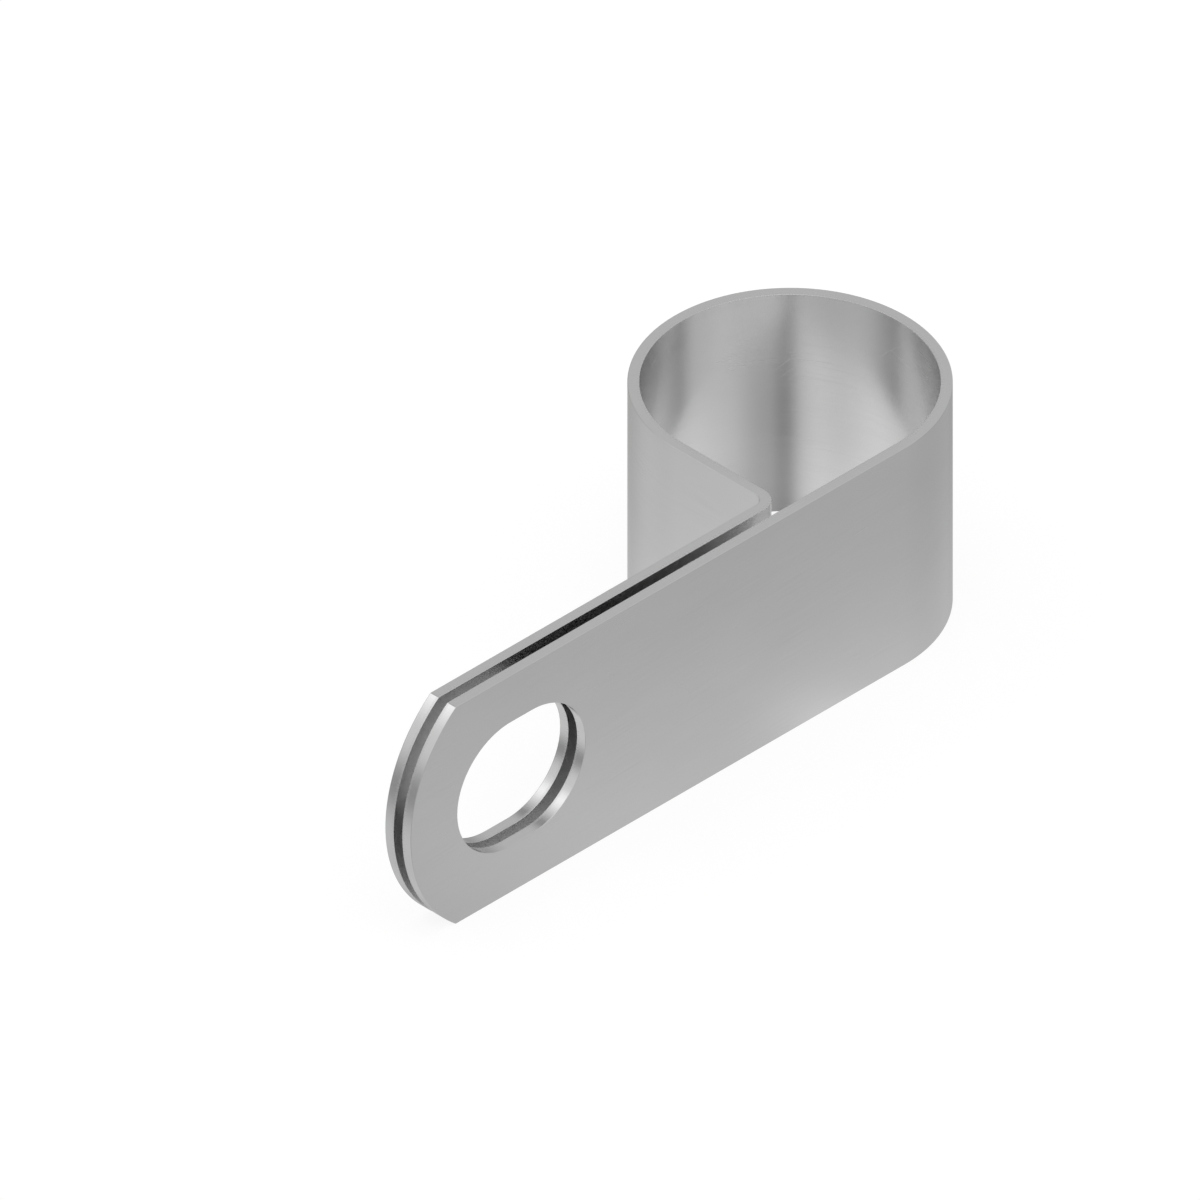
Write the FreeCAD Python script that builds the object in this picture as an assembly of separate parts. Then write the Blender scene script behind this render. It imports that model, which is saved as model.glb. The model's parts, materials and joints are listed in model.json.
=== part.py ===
import FreeCAD
import Part
import math
import os

# P clip: one strip of sheet steel, rolled round a cable, turned back through a square corner and
# laid along itself as a second leg, with one slotted bolt hole through both legs.
# Millimetres. Z is the loop's axis, its zero is the strip's lower edge, and X runs from the hole
# to the loop. The mounting leg faces -Y.

# Strip
sheet_thickness = 1.0
band_width = 22.0

# Loop and the corner that turns the strip back
loop_bore = 25.0
corner_inside_radius = 1.0
leg_gap = 1.0

# Legs: rounded tips, and a slot that lets the bolt shift along the legs
hole_to_loop_axis = 45.0
slot_width = 12.5
slot_travel = 2.5
hole_to_tip = 13.0
tip_rise = 5.3

# Loop walls
bore_radius = loop_bore / 2
outer_radius = bore_radius + sheet_thickness

# Leg faces, in Y: the mounting leg is tangent to the loop, the return leg lies one gap behind it
mounting_face = -outer_radius
mounting_leg_inside = -bore_radius
return_leg_inside = mounting_leg_inside + leg_gap
return_leg_outside = return_leg_inside + sheet_thickness

# Corner: its centre lies outside the loop, and the loop's wall runs straight down to it
corner_outside_radius = corner_inside_radius + sheet_thickness
corner_x = -outer_radius - corner_inside_radius
corner_y = return_leg_outside + corner_inside_radius

# Places along X
hole_x = -hole_to_loop_axis
tip_x = hole_x - hole_to_tip
shoulder_x = tip_x + tip_rise
mid_height = band_width / 2


def arc(centre_x, centre_y, radius, start_deg, sweep_deg):
    """An arc in the XY plane, from its centre, radius, start angle and signed sweep."""
    angles = [math.radians(start_deg + sweep_deg * share) for share in (0, 0.5, 1)]
    points = [
        FreeCAD.Vector(centre_x + radius * math.cos(a), centre_y + radius * math.sin(a), 0)
        for a in angles
    ]
    return Part.Arc(*points).toShape()


def line(x0, y0, x1, y1):
    """A straight edge in the XY plane."""
    return Part.makeLine(FreeCAD.Vector(x0, y0, 0), FreeCAD.Vector(x1, y1, 0))


def bent_strip():
    """The strip's edge outline, drawn once round both of its faces, and raised by its width."""
    outside = [
        line(tip_x, mounting_face, 0, mounting_face),
        arc(0, 0, outer_radius, -90, 270),
        line(-outer_radius, 0, -outer_radius, corner_y),
        arc(corner_x, corner_y, corner_inside_radius, 0, -90),
        line(corner_x, return_leg_outside, tip_x, return_leg_outside),
    ]
    return_tip = line(tip_x, return_leg_outside, tip_x, return_leg_inside)
    inside = [
        line(tip_x, return_leg_inside, corner_x, return_leg_inside),
        arc(corner_x, corner_y, corner_outside_radius, -90, 90),
        line(-bore_radius, corner_y, -bore_radius, 0),
        arc(0, 0, bore_radius, 180, -270),
        line(0, mounting_leg_inside, tip_x, mounting_leg_inside),
    ]
    mounting_tip = line(tip_x, mounting_leg_inside, tip_x, mounting_face)
    outline = Part.Wire([*outside, return_tip, *inside, mounting_tip])
    return Part.Face(outline).extrude(FreeCAD.Vector(0, 0, band_width))


def through_legs(outline):
    """A punch of this XZ outline, drawn in front of the mounting face and passing both legs."""
    start = mounting_face - sheet_thickness
    end = return_leg_outside + sheet_thickness
    punch = Part.Face(outline).extrude(FreeCAD.Vector(0, end - start, 0))
    punch.translate(FreeCAD.Vector(0, start, 0))
    return punch


def slot_punch():
    """The bolt slot: two half circles joined by straight sides along the legs."""
    radius = slot_width / 2
    left = hole_x - slot_travel / 2
    right = hole_x + slot_travel / 2
    low = mid_height - radius
    high = mid_height + radius
    edges = [
        Part.makeLine(FreeCAD.Vector(left, 0, low), FreeCAD.Vector(right, 0, low)),
        Part.Arc(
            FreeCAD.Vector(right, 0, low),
            FreeCAD.Vector(right + radius, 0, mid_height),
            FreeCAD.Vector(right, 0, high),
        ).toShape(),
        Part.makeLine(FreeCAD.Vector(right, 0, high), FreeCAD.Vector(left, 0, high)),
        Part.Arc(
            FreeCAD.Vector(left, 0, high),
            FreeCAD.Vector(left - radius, 0, mid_height),
            FreeCAD.Vector(left, 0, low),
        ).toShape(),
    ]
    return through_legs(Part.Wire(edges))


def tip_trim():
    """What is cropped off the square ends: everything beyond a shallow arc across the width."""
    beyond_x = tip_x - sheet_thickness
    below = -sheet_thickness
    above = band_width + sheet_thickness
    low_corner = FreeCAD.Vector(shoulder_x, 0, 0)
    high_corner = FreeCAD.Vector(shoulder_x, 0, band_width)
    crown = Part.Arc(low_corner, FreeCAD.Vector(tip_x, 0, mid_height), high_corner).toShape()
    rest = Part.makePolygon(
        [
            high_corner,
            FreeCAD.Vector(shoulder_x, 0, above),
            FreeCAD.Vector(beyond_x, 0, above),
            FreeCAD.Vector(beyond_x, 0, below),
            FreeCAD.Vector(shoulder_x, 0, below),
            low_corner,
        ]
    )
    return through_legs(Part.Wire([crown, *rest.Edges]))


def clip_band():
    """The whole clip, one piece: the bent strip with its tips cropped and its slot punched."""
    return bent_strip().cut(tip_trim()).cut(slot_punch())


def main():
    os.makedirs("parts", exist_ok=True)
    band = clip_band()
    band.exportStep("parts/clip_band.step")
    print("clip_band", len(band.Solids), "solid, valid", band.isValid(), "volume", round(band.Volume, 2))


main()
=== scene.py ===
import json

import bpy
import numpy as np
from mathutils import Matrix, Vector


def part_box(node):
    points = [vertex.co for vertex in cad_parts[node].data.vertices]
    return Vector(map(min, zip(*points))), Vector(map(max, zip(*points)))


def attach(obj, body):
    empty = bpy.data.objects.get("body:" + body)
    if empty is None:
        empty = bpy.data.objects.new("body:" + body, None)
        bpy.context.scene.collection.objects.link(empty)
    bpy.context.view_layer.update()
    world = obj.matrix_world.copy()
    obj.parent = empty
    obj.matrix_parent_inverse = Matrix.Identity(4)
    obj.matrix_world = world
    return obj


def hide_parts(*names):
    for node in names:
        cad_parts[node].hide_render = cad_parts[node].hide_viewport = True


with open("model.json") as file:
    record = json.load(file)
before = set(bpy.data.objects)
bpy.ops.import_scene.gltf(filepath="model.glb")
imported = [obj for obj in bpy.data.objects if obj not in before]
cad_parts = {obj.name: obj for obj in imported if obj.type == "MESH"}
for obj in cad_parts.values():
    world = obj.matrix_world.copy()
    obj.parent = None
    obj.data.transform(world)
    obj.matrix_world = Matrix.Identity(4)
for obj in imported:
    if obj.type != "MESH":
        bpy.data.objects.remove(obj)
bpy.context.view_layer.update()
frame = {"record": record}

# The clip is one steel strip, so its looks are one piece as well. The strip is first worked out flat,
# as the cut blank, and then laid along its bends. Flat coordinates are s along the strip from the
# mounting leg's tip, w across it, and h through it, with plus h on the side that faces out.
mounts = {mount["name"]: mount for mount in frame["record"]["mounts"]}
bandLow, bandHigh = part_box("clip_band")

band = {
    "loopOutside": bandHigh.x,
    "loopInside": mounts["cable_loop"]["dims"]["r_mm"] / 1000,
    "width": bandHigh.z - bandLow.z,
    "tipX": bandLow.x,
    "returnFaceY": mounts["bolt_head_face"]["pos_m"][1],
    "cornerInside": 0.001,         # bend radius where the loop's wall turns into the return leg
    "slotX": mounts["bolt_slot"]["pos_m"][0],
    "slotRadius": mounts["bolt_slot"]["dims"]["hole_r_mm"] / 1000,
    "slotLength": mounts["bolt_slot"]["dims"]["slot_length_mm"] / 1000,
    "tipRise": 0.0053,             # how far the tip's arc stands out past its two corners
    "tipCornerRound": 0.00018,
    "arrisOut": 0.00005,           # rounding of the cut edges on the outward face
    "arrisIn": 0.00003,            # and on the inward face
    "arrisHold": 0.00004,          # flat ring beside each rounding, which keeps the shading off the faces
    "arrisPoints": 6,
    "endPatch": 0.0255,            # length of leg, from the tip, that the slot's rings fill
    "ringsRoundSlot": 9,
    "edgeStep": 0.0006,            # along the leg ends' straight edges
    "rowStep": 0.0012,             # across the strip
    "legStep": 0.0024,             # along the straight runs between the leg ends
    "tipPoints": 49,
    "tipCornerPoints": 6,
    "bendStepDegrees": 1.5,
    "cornerStepDegrees": 6.0,
    "joinDistance": 1e-8,          # points that are closer than this become one
}
band["thickness"] = band["loopOutside"] - band["loopInside"]


# The strip's centre line as five runs, each a length and a curvature: mounting leg, three quarters of
# a circle, the loop's straight wall, the square corner turning the other way, and the return leg.
def stripRuns(b):
    half = b["thickness"] / 2
    loopRadius = b["loopInside"] + half
    cornerRadius = b["cornerInside"] + half
    wall = -(b["returnFaceY"] + b["cornerInside"])
    returnLeg = -b["loopOutside"] - b["cornerInside"] - b["tipX"]
    loop = 1.5 * np.pi * loopRadius
    corner = 0.5 * np.pi * cornerRadius
    lengths = np.array([-b["tipX"], loop, wall, corner, returnLeg])
    curvatures = np.array([0.0, 1 / loopRadius, 0.0, -1 / cornerRadius, 0.0])
    starts = np.concatenate(([0.0], np.cumsum(lengths)))
    headings = np.concatenate(([0.0], np.cumsum(lengths * curvatures)))
    chords = lengths * np.sinc(lengths * curvatures / (2 * np.pi))
    middle = headings[:-1] + lengths * curvatures / 2
    x = b["tipX"] + np.concatenate(([0.0], np.cumsum(chords * np.cos(middle))))
    y = -loopRadius + np.concatenate(([0.0], np.cumsum(chords * np.sin(middle))))
    return {
        "lengths": lengths,
        "curvatures": curvatures,
        "starts": starts,
        "headings": headings,
        "x": x,
        "y": y,
    }


# From the flat blank to the bent strip: the centre line is followed to s, where a run's chord is its
# length times sin(a)/a of half its turn a, and the point is then moved h along the right-hand normal.
def bendStrip(runs, s, w, h):
    run = np.clip(np.searchsorted(runs["starts"], s, side="right") - 1, 0, len(runs["lengths"]) - 1)
    along = s - runs["starts"][run]
    turn = along * runs["curvatures"][run]
    chord = along * np.sinc(turn / (2 * np.pi))
    middle = runs["headings"][run] + turn / 2
    heading = runs["headings"][run] + turn
    x = runs["x"][run] + chord * np.cos(middle) + h * np.sin(heading)
    y = runs["y"][run] + chord * np.sin(middle) - h * np.cos(heading)
    return np.stack([x, y, w], axis=-1)


# The tip's outline with its outward normals, from the lower edge round the tip to the upper edge. The
# tip is an arc of radius (half width squared plus rise squared) over twice the rise. A small arc of
# radius r rounds each corner: its centre is r from the edge and r inside the tip's arc.
def tipOutline(b):
    halfWidth = b["width"] / 2
    r = b["tipCornerRound"]
    tipRadius = (halfWidth ** 2 + b["tipRise"] ** 2) / (2 * b["tipRise"])
    cornerW = r - halfWidth
    cornerS = tipRadius - np.sqrt((tipRadius - r) ** 2 - cornerW ** 2)
    cornerAngle = np.arctan2(cornerW, cornerS - tipRadius)
    edgeCount = int(np.ceil((b["endPatch"] - cornerS) / b["edgeStep"]))
    edgeS = np.linspace(b["endPatch"], cornerS, edgeCount + 1)
    edge = np.stack([edgeS, np.full_like(edgeS, -halfWidth)], axis=-1)
    edgeNormal = np.tile([0.0, -1.0], (len(edgeS), 1))
    cornerTurn = np.linspace(-np.pi / 2, cornerAngle, b["tipCornerPoints"])[1:-1]
    tipTurn = np.linspace(cornerAngle, -2 * np.pi - cornerAngle, b["tipPoints"])
    cornerNormal = np.stack([np.cos(cornerTurn), np.sin(cornerTurn)], axis=-1)
    tipNormal = np.stack([np.cos(tipTurn), np.sin(tipTurn)], axis=-1)
    corner = np.array([cornerS, cornerW]) + r * cornerNormal
    tip = np.array([tipRadius, 0.0]) + tipRadius * tipNormal
    half = np.concatenate([edge, corner])
    halfNormal = np.concatenate([edgeNormal, cornerNormal])
    mirror = np.array([1.0, -1.0])
    points = np.concatenate([half, tip, half[::-1] * mirror])
    normals = np.concatenate([halfNormal, tipNormal, halfNormal[::-1] * mirror])
    return points + np.array([0.0, halfWidth]), normals


# A cut edge's section, as (distance in from the outline, height through the sheet): a quarter circle
# at each arris, with a short flat beside each end of it. The finish turns from the face's to the cut
# edge's over the arris, by one less the share of the way in.
def cutSection(b):
    half = b["thickness"] / 2
    quarter = np.linspace(0, np.pi / 2, b["arrisPoints"])
    out = b["arrisOut"]
    inn = b["arrisIn"]
    hold = b["arrisHold"]
    outer = np.stack([out - out * np.sin(quarter), half - out + out * np.cos(quarter)], axis=-1)
    inner = np.stack([inn - inn * np.cos(quarter), -half + inn - inn * np.sin(quarter)], axis=-1)
    section = np.concatenate([
        [[out + hold, half]],
        outer,
        [[0.0, half - out - hold], [0.0, -half + inn + hold]],
        inner,
        [[inn + hold, -half]],
    ])
    depth = np.where(section[:, 1] > 0, out, inn) + hold
    return section, 1 - section[:, 0] / depth


# Collects grids of flat points. A grid's neighbours make its four-sided faces, and a closed grid joins
# its last column to its first. Each point also has a map coordinate and a share of cut edge.
class Sheets:
    def __init__(self):
        self.flat, self.maps, self.cut, self.faces, self.count = [], [], [], [], 0

    def add(self, s, w, h, mapU, mapV, cut, closed=False, turned=False):
        s, w, h, mapU, mapV, cut = np.broadcast_arrays(s, w, h, mapU, mapV, cut)
        rows, columns = s.shape
        index = self.count + np.arange(rows * columns).reshape(rows, columns)
        after = np.roll(index, -1, axis=1) if closed else index[:, 1:]
        before = index if closed else index[:, :-1]
        quads = np.stack([before[:-1], after[:-1], after[1:], before[1:]], axis=-1).reshape(-1, 4)
        self.faces.append(quads[:, ::-1] if turned else quads)
        self.flat.append(np.stack([s, w, h], axis=-1).reshape(-1, 3))
        self.maps.append(np.stack([mapU, mapV], axis=-1).reshape(-1, 2))
        self.cut.append(cut.reshape(-1))
        self.count += rows * columns


# One leg's end: both faces as rings between the slot and the outline, then the walls of the outline
# and of the slot. Each outline point is paired with the slot wall's point that faces it, which is the
# nearest point of the slot's core line plus the slot's radius, and the rings share out the way between.
def addLegEnd(sheets, b, section, cut, total, mirrored):
    half = b["thickness"] / 2
    outline, normals = tipOutline(b)
    rows = int(round(b["width"] / b["rowStep"]))
    share = np.linspace(0, 1, rows + 1)[1:-1, None]

    def place(s):
        return total - s if mirrored else s

    def closeLoop(line):
        return np.concatenate([line, line[-1] + (line[0] - line[-1]) * share])

    slotCentre = np.array([b["slotX"] - b["tipX"], b["width"] / 2])
    slotHalf = b["slotLength"] / 2 - b["slotRadius"]
    away = closeLoop(outline) - slotCentre
    core = np.stack([np.clip(away[:, 0], -slotHalf, slotHalf), np.zeros(len(away))], axis=-1)
    away = (away - core) / np.linalg.norm(away - core, axis=1, keepdims=True)
    core = slotCentre + core

    ring = np.linspace(0, 1, b["ringsRoundSlot"])[:, None, None]
    for inset, height, isOut in ((section[0, 0], half, True), (section[-1, 0], -half, False)):
        inner = core + away * (b["slotRadius"] + inset)
        points = inner + (closeLoop(outline - normals * inset) - inner) * ring
        s, w = place(points[..., 0]), points[..., 1]
        sheets.add(s, w, height, s, w, 0.0, closed=True, turned=isOut == mirrored)

    inset = section[:, 0][:, None, None]
    through = section[:, 1][:, None]
    cut = cut[:, None]
    edgeLine = np.concatenate(([0.0], np.cumsum(np.linalg.norm(np.diff(outline, axis=0), axis=1))))
    walls = outline - normals * inset
    sheets.add(place(walls[..., 0]), walls[..., 1], through, edgeLine[None], through, cut,
               turned=mirrored)
    walls = core + away * (b["slotRadius"] + inset)
    turn = np.unwrap(np.arctan2(away[:, 1], away[:, 0])) * b["slotRadius"]
    sheets.add(place(walls[..., 0]), walls[..., 1], through, turn[None], through, cut,
               closed=True, turned=not mirrored)


# The strip between the two leg ends: both faces as a grid of columns along it, close together round
# the bends, and the walls of its two long edges.
def addMiddle(sheets, b, section, cut, runs):
    half = b["thickness"] / 2
    total = runs["starts"][-1]
    stops = runs["starts"].copy()
    stops[0], stops[-1] = b["endPatch"], total - b["endPatch"]
    steps = np.degrees(np.abs(runs["curvatures"] * runs["lengths"]))
    fine = np.array([1, b["bendStepDegrees"], 1, b["cornerStepDegrees"], 1])
    counts = np.ceil(np.where(steps > 0, steps / fine, np.diff(stops) / b["legStep"])).astype(int)
    spans = [np.linspace(a, z, n + 1)[:-1] for a, z, n in zip(stops[:-1], stops[1:], counts)]
    s = np.concatenate([*spans, stops[-1:]])[None]
    rows = int(round(b["width"] / b["rowStep"]))
    share = np.linspace(0, 1, rows + 1)[:, None]
    for inset, height, isOut in ((section[0, 0], half, True), (section[-1, 0], -half, False)):
        w = inset + (b["width"] - 2 * inset) * share
        sheets.add(s, w, height, s, w, 0.0, turned=not isOut)
    through = section[:, 1][:, None]
    inset = section[:, 0][:, None]
    cut = cut[:, None]
    sheets.add(s, inset, through, s, through, cut, turned=True)
    sheets.add(s, b["width"] - inset, through, s, through, cut)


# The whole strip: the sheets are bent, points that fall together are joined, and the mesh is filled
# from the arrays, with the flat coordinates as its map.
def makeBand(b):
    runs = stripRuns(b)
    section, cut = cutSection(b)
    sheets = Sheets()
    total = runs["starts"][-1]
    addLegEnd(sheets, b, section, cut, total, False)
    addLegEnd(sheets, b, section, cut, total, True)
    addMiddle(sheets, b, section, cut, runs)
    flat = np.concatenate(sheets.flat)
    points = bendStrip(runs, flat[:, 0], flat[:, 1] + bandLow.z, flat[:, 2])
    faces = np.concatenate(sheets.faces)
    maps = np.concatenate(sheets.maps)
    isCut = np.concatenate(sheets.cut)

    cells = np.round(points / b["joinDistance"]).astype(np.int64)
    _, first, joined = np.unique(cells, axis=0, return_index=True, return_inverse=True)
    joined = joined.reshape(-1)
    mesh = bpy.data.meshes.new("clipBand")
    mesh.from_pydata(points[first], [], joined[faces])
    mesh.update()
    layer = mesh.uv_layers.new(name="stripMap")
    layer.data.foreach_set("uv", maps[faces.reshape(-1)].astype(np.float32).reshape(-1))
    edge = mesh.attributes.new("cutEdge", "FLOAT", "CORNER")
    edge.data.foreach_set("value", isCut[faces.reshape(-1)].astype(np.float32))
    mesh.polygons.foreach_set("use_smooth", np.ones(len(mesh.polygons), dtype=bool))
    mesh.update()
    piece = bpy.data.objects.new("clipBand", mesh)
    bpy.context.collection.objects.link(piece)
    print("band:", len(mesh.vertices), "points,", len(mesh.polygons), "faces, strip length in mm",
          round(total * 1000, 2))
    return piece


clipBand = makeBand(band)
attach(clipBand, "root")
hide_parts("clip_band")


# Two helpers for node trees: a node with its settings, and a wire between two sockets.
def addNode(tree, kind, **settings):
    node = tree.nodes.new(kind)
    for name, value in settings.items():
        setattr(node, name, value)
    return node


def wire(tree, source, output, target, entry):
    tree.links.new(source.outputs[output], target.inputs[entry])


# Bright cold-rolled steel. Each noise is (size along, size across, detail) for the faces and (size along
# the edge, size through the sheet, detail) for the cut edges, with sizes in metres on the flat strip.
steel = {
    "grey": (0.81, 0.84),            # duller and brighter patches
    "glancingGrey": 0.92,            # share of the gloss that is left at a glancing angle
    "roughness": (0.20, 0.23),
    "acrossGloss": 0.2,              # rolling lines stretch the gloss across the strip
    "patch": (0.016, 0.007, 2.0),
    "rollLines": (0.006, 0.00014, 4.0),
    "rollShade": 0.015,
    "rollRoughness": 0.015,
    "rollHeight": 0.4e-6,
    "hairlines": [                   # a noise, its turn in degrees and the value at which its lines start
        ((0.010, 0.00006, 0.0), 3, 0.68),
        ((0.005, 0.00005, 0.0), -41, 0.77),
        ((0.004, 0.00005, 0.0), 63, 0.79),
    ],
    "hairlineRise": 0.08,            # this far above its start value the noise makes a full line
    "hairlineShade": 0.02,
    "hairlineRoughness": 0.05,
    "hairlineDepth": 0.6e-6,
    "shearMarks": (0.00012, 0.0012, 3.0),
    "shearRoughness": (0.13, 0.22),
    "shearHeight": 2.0e-6,
    "breakFrom": -0.0002,            # below this height in the sheet the blank tore instead of shearing
    "breakTo": -0.0003,
    "breakGrain": (0.00009, 0.00009, 2.0),
    "breakRoughness": 0.10,
    "breakHeight": 1.5e-6,
    "noiseMiddle": (0.3, 0.7),       # between these values lies most of a noise
    "noiseSpan": (0.2, 0.8),         # and between these nearly all of it
}


# Noise stretched over the strip: its coordinates are turned and then divided by the size of one grain.
def stretchedNoise(tree, strip, noiseSize, turn=0):
    along, across, detail = noiseSize
    place = addNode(tree, "ShaderNodeMapping", vector_type="TEXTURE")
    place.inputs["Scale"].default_value = (along, across, 1.0)
    place.inputs["Rotation"].default_value = (0.0, 0.0, np.radians(turn))
    wire(tree, strip, "UV", place, "Vector")
    noise = addNode(tree, "ShaderNodeTexNoise")
    noise.inputs["Scale"].default_value = 1.0
    noise.inputs["Detail"].default_value = detail
    wire(tree, place, "Vector", noise, "Vector")
    return noise


# One span of values laid evenly over another.
def remap(tree, source, output, span, result):
    ramp = addNode(tree, "ShaderNodeMapRange")
    wire(tree, source, output, ramp, "Value")
    for entry, value in zip(("From Min", "From Max", "To Min", "To Max"), (*span, *result)):
        ramp.inputs[entry].default_value = value
    return ramp


# The sum of the first outputs of some nodes.
def addUp(tree, parts):
    total = parts[0]
    for part in parts[1:]:
        both = addNode(tree, "ShaderNodeMath", operation="ADD")
        wire(tree, total, 0, both, 0)
        wire(tree, part, 0, both, 1)
        total = both
    return total


# From one node's value to another's, by an amount between nought and one.
def blend(tree, amount, output, first, second):
    mix = addNode(tree, "ShaderNodeMix", data_type="FLOAT")
    wire(tree, amount, output, mix, 0)
    wire(tree, first, 0, mix, 2)
    wire(tree, second, 0, mix, 3)
    return mix


def makeSteel(v):
    material = bpy.data.materials.new("rolledSteel")
    material.use_nodes = True
    tree = material.node_tree
    tree.nodes.clear()
    out = addNode(tree, "ShaderNodeOutputMaterial")
    metal = addNode(tree, "ShaderNodeBsdfPrincipled")
    metal.inputs["Metallic"].default_value = 1.0
    metal.inputs["Specular Tint"].default_value = (v["glancingGrey"],) * 3 + (1.0,)
    metal.inputs["Anisotropic"].default_value = v["acrossGloss"]
    metal.inputs["Anisotropic Rotation"].default_value = 0.25      # a quarter turn, from along to across
    alongStrip = addNode(tree, "ShaderNodeTangent", direction_type="UV_MAP", uv_map="stripMap")
    wire(tree, alongStrip, "Tangent", metal, "Tangent")
    strip = addNode(tree, "ShaderNodeUVMap", uv_map="stripMap")
    cut = addNode(tree, "ShaderNodeAttribute", attribute_name="cutEdge")

    middle = v["noiseMiddle"]
    patch = stretchedNoise(tree, strip, v["patch"])
    roll = stretchedNoise(tree, strip, v["rollLines"])
    rollShade = (-v["rollShade"] / 2, v["rollShade"] / 2)
    rollRough = (v["rollRoughness"] / 2, -v["rollRoughness"] / 2)
    faceGrey = [remap(tree, patch, "Fac", middle, v["grey"]),
                remap(tree, roll, "Fac", middle, rollShade)]
    faceRough = [remap(tree, patch, "Fac", middle, v["roughness"]),
                 remap(tree, roll, "Fac", middle, rollRough)]
    faceHeight = [remap(tree, roll, "Fac", v["noiseSpan"], (0.0, v["rollHeight"]))]
    for noiseSize, turn, start in v["hairlines"]:
        hairline = stretchedNoise(tree, strip, noiseSize, turn)
        rise = (start, start + v["hairlineRise"])
        faceGrey.append(remap(tree, hairline, "Fac", rise, (0.0, -v["hairlineShade"])))
        faceRough.append(remap(tree, hairline, "Fac", rise, (0.0, v["hairlineRoughness"])))
        faceHeight.append(remap(tree, hairline, "Fac", rise, (0.0, -v["hairlineDepth"])))

    mark = stretchedNoise(tree, strip, v["shearMarks"])
    through = addNode(tree, "ShaderNodeSeparateXYZ")
    wire(tree, strip, "UV", through, 0)
    broken = remap(tree, through, "Y", (v["breakTo"], v["breakFrom"]), (1.0, 0.0))
    crumb = stretchedNoise(tree, strip, v["breakGrain"])
    crumbHeight = addNode(tree, "ShaderNodeMath", operation="MULTIPLY")
    wire(tree, broken, 0, crumbHeight, 0)
    wire(tree, remap(tree, crumb, "Fac", v["noiseSpan"], (0.0, v["breakHeight"])), 0, crumbHeight, 1)
    cutGrey = [remap(tree, mark, "Fac", middle, v["grey"])]
    cutRough = [remap(tree, mark, "Fac", middle, v["shearRoughness"]),
                remap(tree, broken, 0, (0.0, 1.0), (0.0, v["breakRoughness"]))]
    cutHeight = [remap(tree, mark, "Fac", v["noiseSpan"], (0.0, v["shearHeight"])), crumbHeight]

    grey = blend(tree, cut, "Fac", addUp(tree, faceGrey), addUp(tree, cutGrey))
    rough = blend(tree, cut, "Fac", addUp(tree, faceRough), addUp(tree, cutRough))
    height = blend(tree, cut, "Fac", addUp(tree, faceHeight), addUp(tree, cutHeight))
    relief = addNode(tree, "ShaderNodeBump")
    relief.inputs["Distance"].default_value = 1.0                  # the heights are in metres already
    wire(tree, grey, 0, metal, "Base Color")
    wire(tree, rough, 0, metal, "Roughness")
    wire(tree, height, 0, relief, "Height")
    wire(tree, relief, "Normal", metal, "Normal")
    wire(tree, metal, "BSDF", out, "Surface")
    return material


clipBand.data.materials.append(makeSteel(steel))
print("steel: done")

# The studio is a pale room. Each card is (azimuth, elevation, spread in degrees, amount): it adds that
# much light round that direction, or takes it away where the amount is below zero. Each pool is a
# painted reflection: a spot of glow on the floor near the clip that only reflected and transmitted rays
# see.
# It makes the metal's reflection brighter there, or darker where the amount is below zero, as (x, y, size
# in metres, amount).
studio = {
    "floorSide": 3.0,
    "floorShade": 0.15,
    "floorGlow": 0.87,
    "floorGrey": 0.8,
    "room": 0.44,
    "plainLevel": 1.5,                    # how much brighter the room is for surfaces that aren't mirrors
    "skirting": (-0.1, 0.25, -0.145),     # height on the unit sphere, width and amount of a darker band
    "cards": [
        (125, 46, 16, 0.57),
        (30, 40, 18, 0.09),
        (148, 18, 13, 0.20),
        (144, -14, 12, -0.05),
        (67, 51, 10, -0.28),
        (85, -56, 14, 0.10),
        (12, -36, 9, 0.03),
        (30, -36, 16, -0.03),
        (47, -35, 7, 0.22),
        (106, -36, 20, 0.112),
        (152, -38, 20, 0.155),
        (203, -35, 9, 0.095),
        (228, -35, 6.5, -0.41),
        (241, -35, 14, -0.22),
        (255, -37, 10, -0.07),
        (270, -35, 12, -0.045),
        (303, -36, 7, 0.03),
        (338, -35, 12, -0.01),
        (235, 62, 45, 0.60),
        (285, 0, 22, 0.10),
        (330, -4, 14, -0.12),
        (18, -6, 12, 0.30),
        (190, -10, 12, 0.14),
    ],
    # painted reflections: glowing and darkening spots on the floor, seen only in the metal
    "paintedGlowPools": [
        (0.0, 0.0, 0.02, 0.19),
        (-0.035, -0.012, 0.022, 0.11),
        (0.01, 0.0035, 0.005, 0.09),
        (-0.01, -0.012, 0.005, 0.115),
        (-0.003, 0.0, 0.006, -0.07),
    ],
}


# A bell that is one at its centre and falls as exp of minus the squared distance over the squared size.
def bellOfDistance(tree, place, output, centre, size):
    away = addNode(tree, "ShaderNodeVectorMath", operation="SUBTRACT")
    wire(tree, place, output, away, 0)
    away.inputs[1].default_value = centre
    squared = addNode(tree, "ShaderNodeVectorMath", operation="DOT_PRODUCT")
    wire(tree, away, 0, squared, 0)
    wire(tree, away, 0, squared, 1)
    fall = addNode(tree, "ShaderNodeMath", operation="MULTIPLY")
    wire(tree, squared, "Value", fall, 0)
    fall.inputs[1].default_value = -1 / size ** 2
    bell = addNode(tree, "ShaderNodeMath", operation="EXPONENT")
    wire(tree, fall, 0, bell, 0)
    return bell


# The total so far, and the bell times its amount.
def addScaled(tree, total, bell, amount):
    added = addNode(tree, "ShaderNodeMath", operation="MULTIPLY_ADD")
    wire(tree, bell, 0, added, 0)
    added.inputs[1].default_value = amount
    wire(tree, total, 0, added, 2)
    return added


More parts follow.
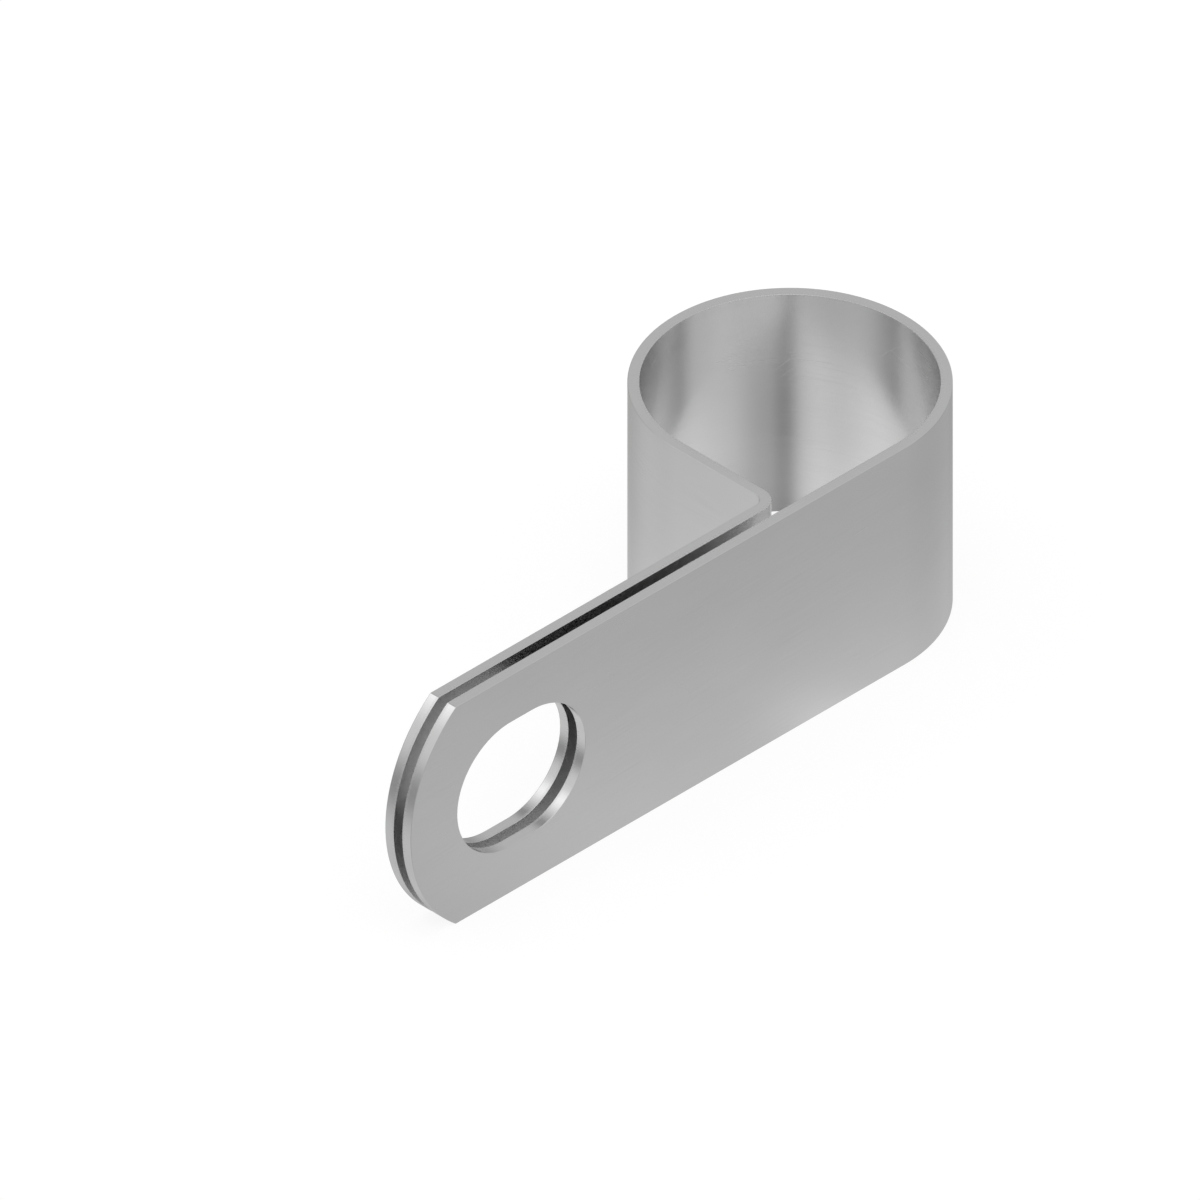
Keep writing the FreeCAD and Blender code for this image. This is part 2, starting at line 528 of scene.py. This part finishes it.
# A square under the strip's lower edge.
def makeFloor(v):
    half = v["floorSide"] / 2
    level = bandLow.z
    corners = [(-half, -half, level), (half, -half, level), (half, half, level), (-half, half, level)]
    mesh = bpy.data.meshes.new("floor")
    mesh.from_pydata(corners, [], [(0, 1, 2, 3)])
    floor = bpy.data.objects.new("floor", mesh)
    bpy.context.collection.objects.link(floor)
    material = bpy.data.materials.new("paleFloor")
    material.use_nodes = True
    tree = material.node_tree
    tree.nodes.clear()
    out = addNode(tree, "ShaderNodeOutputMaterial")
    path = addNode(tree, "ShaderNodeLightPath")
    plain = addNode(tree, "ShaderNodeBsdfDiffuse")
    plain.inputs["Color"].default_value = (v["floorGrey"],) * 3 + (1.0,)

    # seen straight on it is white and keeps the clip's shadow
    shade = addNode(tree, "ShaderNodeBsdfDiffuse")
    shade.inputs["Color"].default_value = (v["floorShade"],) * 3 + (1.0,)
    glow = addNode(tree, "ShaderNodeEmission")
    glow.inputs["Strength"].default_value = v["floorGlow"]
    white = addNode(tree, "ShaderNodeAddShader")
    wire(tree, shade, 0, white, 0)
    wire(tree, glow, 0, white, 1)
    seen = addNode(tree, "ShaderNodeMixShader")
    wire(tree, path, "Is Camera Ray", seen, 0)
    wire(tree, plain, 0, seen, 1)
    wire(tree, white, 0, seen, 2)

    # in the metal it is a glass table: the pale room shows through it, with painted reflections from
    # glowing spots near the clip
    glass = addNode(tree, "ShaderNodeBsdfTransparent")
    paintedGlow = addNode(tree, "ShaderNodeEmission")
    here = addNode(tree, "ShaderNodeTexCoord")
    total = addNode(tree, "ShaderNodeValue")
    total.outputs[0].default_value = 0.0
    for x, y, size, amount in v["paintedGlowPools"]:
        bell = bellOfDistance(tree, here, "Object", (x, y, level), size)
        total = addScaled(tree, total, bell, amount)
    wire(tree, total, 0, paintedGlow, "Strength")
    tableWithPaintedGlow = addNode(tree, "ShaderNodeAddShader")
    wire(tree, glass, 0, tableWithPaintedGlow, 0)
    wire(tree, paintedGlow, 0, tableWithPaintedGlow, 1)
    mirrored = addNode(tree, "ShaderNodeMath", operation="MAXIMUM")
    wire(tree, path, "Is Glossy Ray", mirrored, 0)
    wire(tree, path, "Is Transmission Ray", mirrored, 1)
    last = addNode(tree, "ShaderNodeMixShader")
    wire(tree, mirrored, 0, last, 0)
    wire(tree, seen, 0, last, 1)
    wire(tree, tableWithPaintedGlow, 0, last, 2)
    wire(tree, last, 0, out, "Surface")
    mesh.materials.append(material)


def makeWorld(v):
    world = bpy.data.worlds.new("studio")
    bpy.context.scene.world = world
    world.use_nodes = True
    tree = world.node_tree
    tree.nodes.clear()
    out = addNode(tree, "ShaderNodeOutputWorld")
    back = addNode(tree, "ShaderNodeBackground")
    back.inputs["Color"].default_value = (1.0, 1.0, 1.0, 1.0)
    way = addNode(tree, "ShaderNodeTexCoord")
    total = addNode(tree, "ShaderNodeValue")
    total.outputs[0].default_value = v["room"]

    # the darker band goes all the way round, so its bell takes only the height
    height, width, amount = v["skirting"]
    upright = addNode(tree, "ShaderNodeSeparateXYZ")
    wire(tree, way, "Generated", upright, 0)
    heightOnly = addNode(tree, "ShaderNodeCombineXYZ")
    wire(tree, upright, "Z", heightOnly, "Z")
    bell = bellOfDistance(tree, heightOnly, 0, (0.0, 0.0, height), width)
    total = addScaled(tree, total, bell, amount)

    # on the unit sphere, directions that are an angle apart have the chord 2 sin(half of it) between them
    for azimuth, elevation, spread, amount in v["cards"]:
        a, e = np.radians([azimuth, elevation])
        centre = (np.cos(e) * np.cos(a), np.cos(e) * np.sin(a), np.sin(e))
        bell = bellOfDistance(tree, way, "Generated", centre, 2 * np.sin(np.radians(spread) / 2))
        total = addScaled(tree, total, bell, amount)

    # plain surfaces get enough light to show their colours as they are, and the camera sees white
    seen = addNode(tree, "ShaderNodeLightPath")
    level = addNode(tree, "ShaderNodeMath", operation="MULTIPLY_ADD")
    wire(tree, seen, "Is Diffuse Ray", level, 0)
    level.inputs[1].default_value = v["plainLevel"] - 1
    level.inputs[2].default_value = 1.0
    lit = addNode(tree, "ShaderNodeMath", operation="MULTIPLY")
    wire(tree, total, 0, lit, 0)
    wire(tree, level, 0, lit, 1)
    white = addNode(tree, "ShaderNodeMath", operation="MAXIMUM")
    wire(tree, seen, "Is Camera Ray", white, 0)
    wire(tree, lit, 0, white, 1)
    wire(tree, white, 0, back, "Strength")
    wire(tree, back, "Background", out, "Surface")


makeFloor(studio)
makeWorld(studio)
print("studio: done")

# The photograph is isometric: the camera looks along (1, 1, -1) and has no perspective. The top of the
# loop's axis falls on a known pixel of the 1200 pixel frame, which places the picture's middle.
view = {
    "frameSide": 1200,
    "axisTopPixel": (790.05, 381.55),
    "pixelsPerMetre": 12056,
    "distance": 0.6,
    "nearest": 0.01,
    "farthest": 10.0,
    "bounces": 16,                 # the gap between the legs and the loop's inside need many
}


def makeCamera(v):
    forward = np.array([1.0, 1.0, -1.0]) / np.sqrt(3)
    right = np.array([1.0, -1.0, 0.0]) / np.sqrt(2)
    up = np.cross(right, forward)
    middle = v["frameSide"] / 2
    stepRight = (middle - v["axisTopPixel"][0]) / v["pixelsPerMetre"]
    stepUp = (v["axisTopPixel"][1] - middle) / v["pixelsPerMetre"]
    axisTop = np.array([0.0, 0.0, bandHigh.z])
    place = axisTop + right * stepRight + up * stepUp - forward * v["distance"]
    data = bpy.data.cameras.new("camera")
    data.type = "ORTHO"
    data.ortho_scale = v["frameSide"] / v["pixelsPerMetre"]
    data.clip_start = v["nearest"]
    data.clip_end = v["farthest"]
    camera = bpy.data.objects.new("camera", data)
    turned = np.eye(4)
    turned[:3] = np.stack([right, up, -forward, place], axis=-1)
    camera.matrix_world = Matrix(turned.tolist())
    bpy.context.collection.objects.link(camera)
    bpy.context.scene.camera = camera


makeCamera(view)
bpy.context.scene.view_settings.view_transform = "Standard"
bpy.context.scene.cycles.max_bounces = view["bounces"]
bpy.context.scene.cycles.glossy_bounces = view["bounces"]
print("camera: done")
